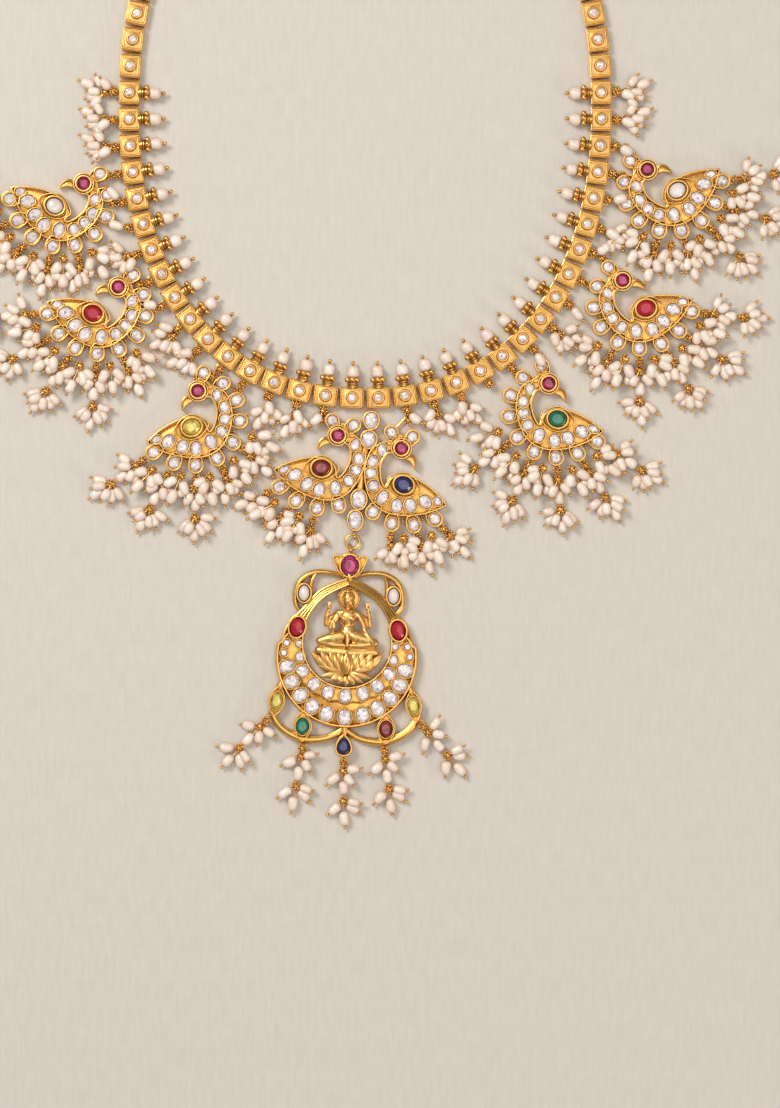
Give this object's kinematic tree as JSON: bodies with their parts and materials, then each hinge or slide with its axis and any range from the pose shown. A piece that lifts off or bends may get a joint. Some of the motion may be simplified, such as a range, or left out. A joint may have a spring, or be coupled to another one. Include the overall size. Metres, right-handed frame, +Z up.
{
  "type": "necklace",
  "caption": "Gold collar necklace of square stone-set links with peacock plaques, a large round pendant with a seated figure, and bunches of rice pearls.",
  "frame": {"origin": "middle of the necklace's bounding box, on the surface it lies on", "axes": "+Y from the pendant towards the clasp, +X to the viewer's right, +Z up out of the lying necklace's front"},
  "size_m": [0.2442, 0.2873, 0.005],
  "materials": {
    "gold": "high-carat gold, hand-made, softly worn",
    "pearl": "natural pearl lustre",
    "white_stone": "flat-cut white stone on silver foil",
    "pink_stone": "cut pink-red stone",
    "red_stone": "polished red stone",
    "garnet": "dark red cut stone",
    "yellow_stone": "pale yellow cut stone",
    "green_stone": "green cut stone",
    "blue_stone": "dark blue cut stone",
    "moonstone": "milky domed stone",
    "thread": "twisted cord"
  },
  "bodies": {
    "root": {"collar_links_left": "gold", "collar_links_right": "gold", "collar_thread": "thread", "clasp": "gold", "collar_pearls_left": "pearl", "collar_pearls_right": "pearl", "peacock_left_1": "gold", "peacock_left_2": "gold", "peacock_left_3": "gold", "peacock_right_1": "gold", "peacock_right_2": "gold", "peacock_right_3": "gold", "peacock_pair": "gold", "pendant_frame": "gold", "seated_figure": "gold", "pendant_ring": "gold", "eye_left_1": "pink_stone", "eye_left_2": "pink_stone", "eye_left_3": "pink_stone", "eye_right_1": "pink_stone", "eye_right_2": "pink_stone", "eye_right_3": "pink_stone", "eye_pair_left": "pink_stone", "eye_pair_right": "pink_stone", "belly_left_1": "moonstone", "belly_left_2": "red_stone", "belly_left_3": "yellow_stone", "belly_right_1": "moonstone", "belly_right_2": "red_stone", "belly_right_3": "green_stone", "belly_pair_left": "garnet", "belly_pair_right": "blue_stone", "top_stone": "pink_stone", "moon_stone_left": "moonstone", "moon_stone_right": "moonstone", "side_stone_left": "red_stone", "side_stone_right": "red_stone", "leaf_stone_left": "yellow_stone", "leaf_stone_right": "yellow_stone", "lobe_stone_left": "green_stone", "lobe_stone_right": "garnet", "tip_stone": "blue_stone", "pendant_white_stones": "white_stone", "bunches_left_1": "pearl", "bunches_left_2": "pearl", "bunches_left_3": "pearl", "bunches_right_1": "pearl", "bunches_right_2": "pearl", "bunches_right_3": "pearl", "bunches_pair": "pearl", "bunches_pendant": "pearl", "bunches_collar_left": "pearl", "bunches_collar_right": "pearl"}
  },
  "joints": []
}
